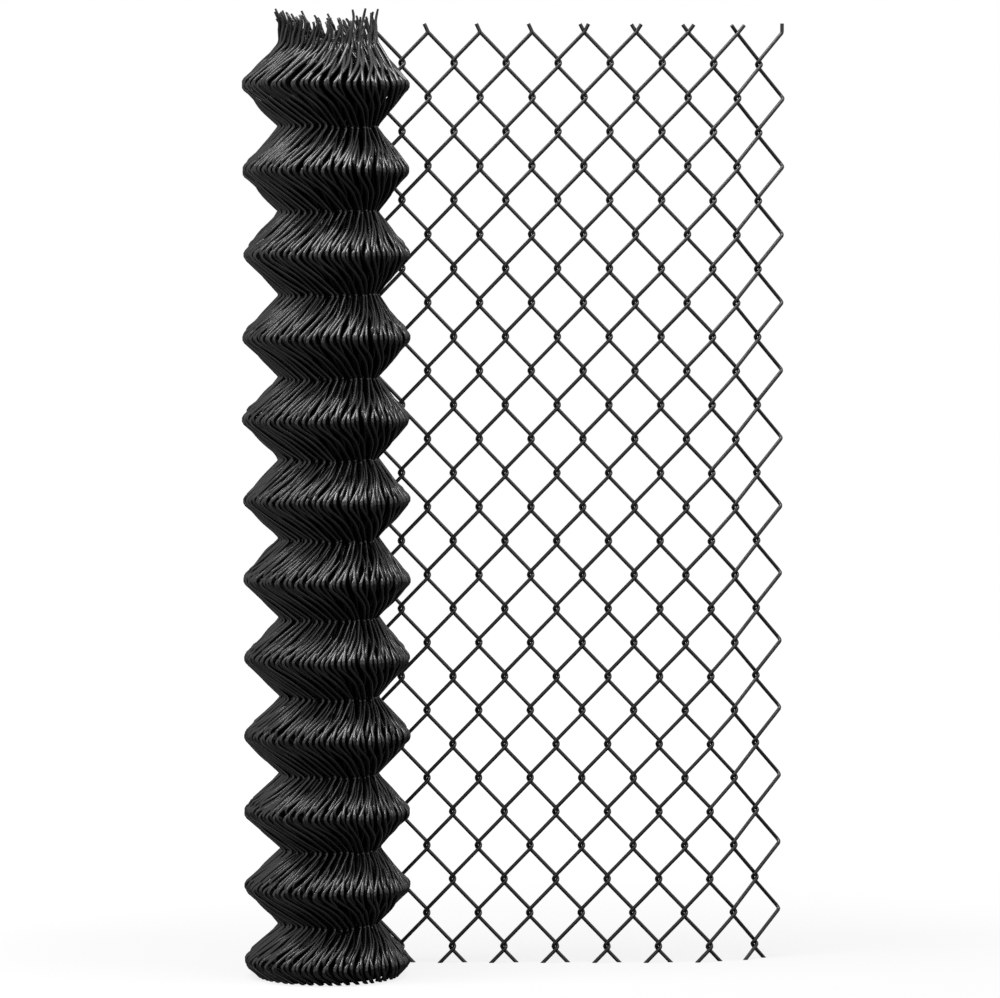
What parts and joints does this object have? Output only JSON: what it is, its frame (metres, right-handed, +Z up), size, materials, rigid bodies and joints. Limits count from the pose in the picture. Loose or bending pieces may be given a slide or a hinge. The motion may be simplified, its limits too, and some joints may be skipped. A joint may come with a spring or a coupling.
{
  "type": "partly unrolled chain link fence panel",
  "caption": "Black coated chain-link fence fabric, partly unrolled: a tight upright roll with its free end standing open as a flat panel of woven diamonds.",
  "frame": {"origin": "bottom centre of the bounding box, on the ground under the cut ends of the wires", "axes": "+X along the unrolled fabric to its free edge, +Y behind the fabric, +Z up"},
  "size_m": [0.7006, 0.2782, 1.2383],
  "materials": {
    "coated_wire": "satin black vinyl coating over steel wire"
  },
  "bodies": {
    "root": {"roll_packed_turns": "coated_wire", "roll_wires_back": "coated_wire", "roll_wires_left": "coated_wire", "roll_wires_front": "coated_wire", "roll_wires_right": "coated_wire", "panel_wire_01": "coated_wire", "panel_wire_02": "coated_wire", "panel_wire_03": "coated_wire", "panel_wire_04": "coated_wire", "panel_wire_05": "coated_wire", "panel_wire_06": "coated_wire", "panel_wire_07": "coated_wire", "panel_wire_08": "coated_wire", "panel_wire_09": "coated_wire", "panel_wire_10": "coated_wire", "panel_wire_11": "coated_wire", "panel_wire_12": "coated_wire", "panel_wire_13": "coated_wire", "panel_wire_14": "coated_wire", "panel_wire_15": "coated_wire", "panel_wire_16": "coated_wire", "panel_wire_17": "coated_wire"}
  },
  "joints": []
}
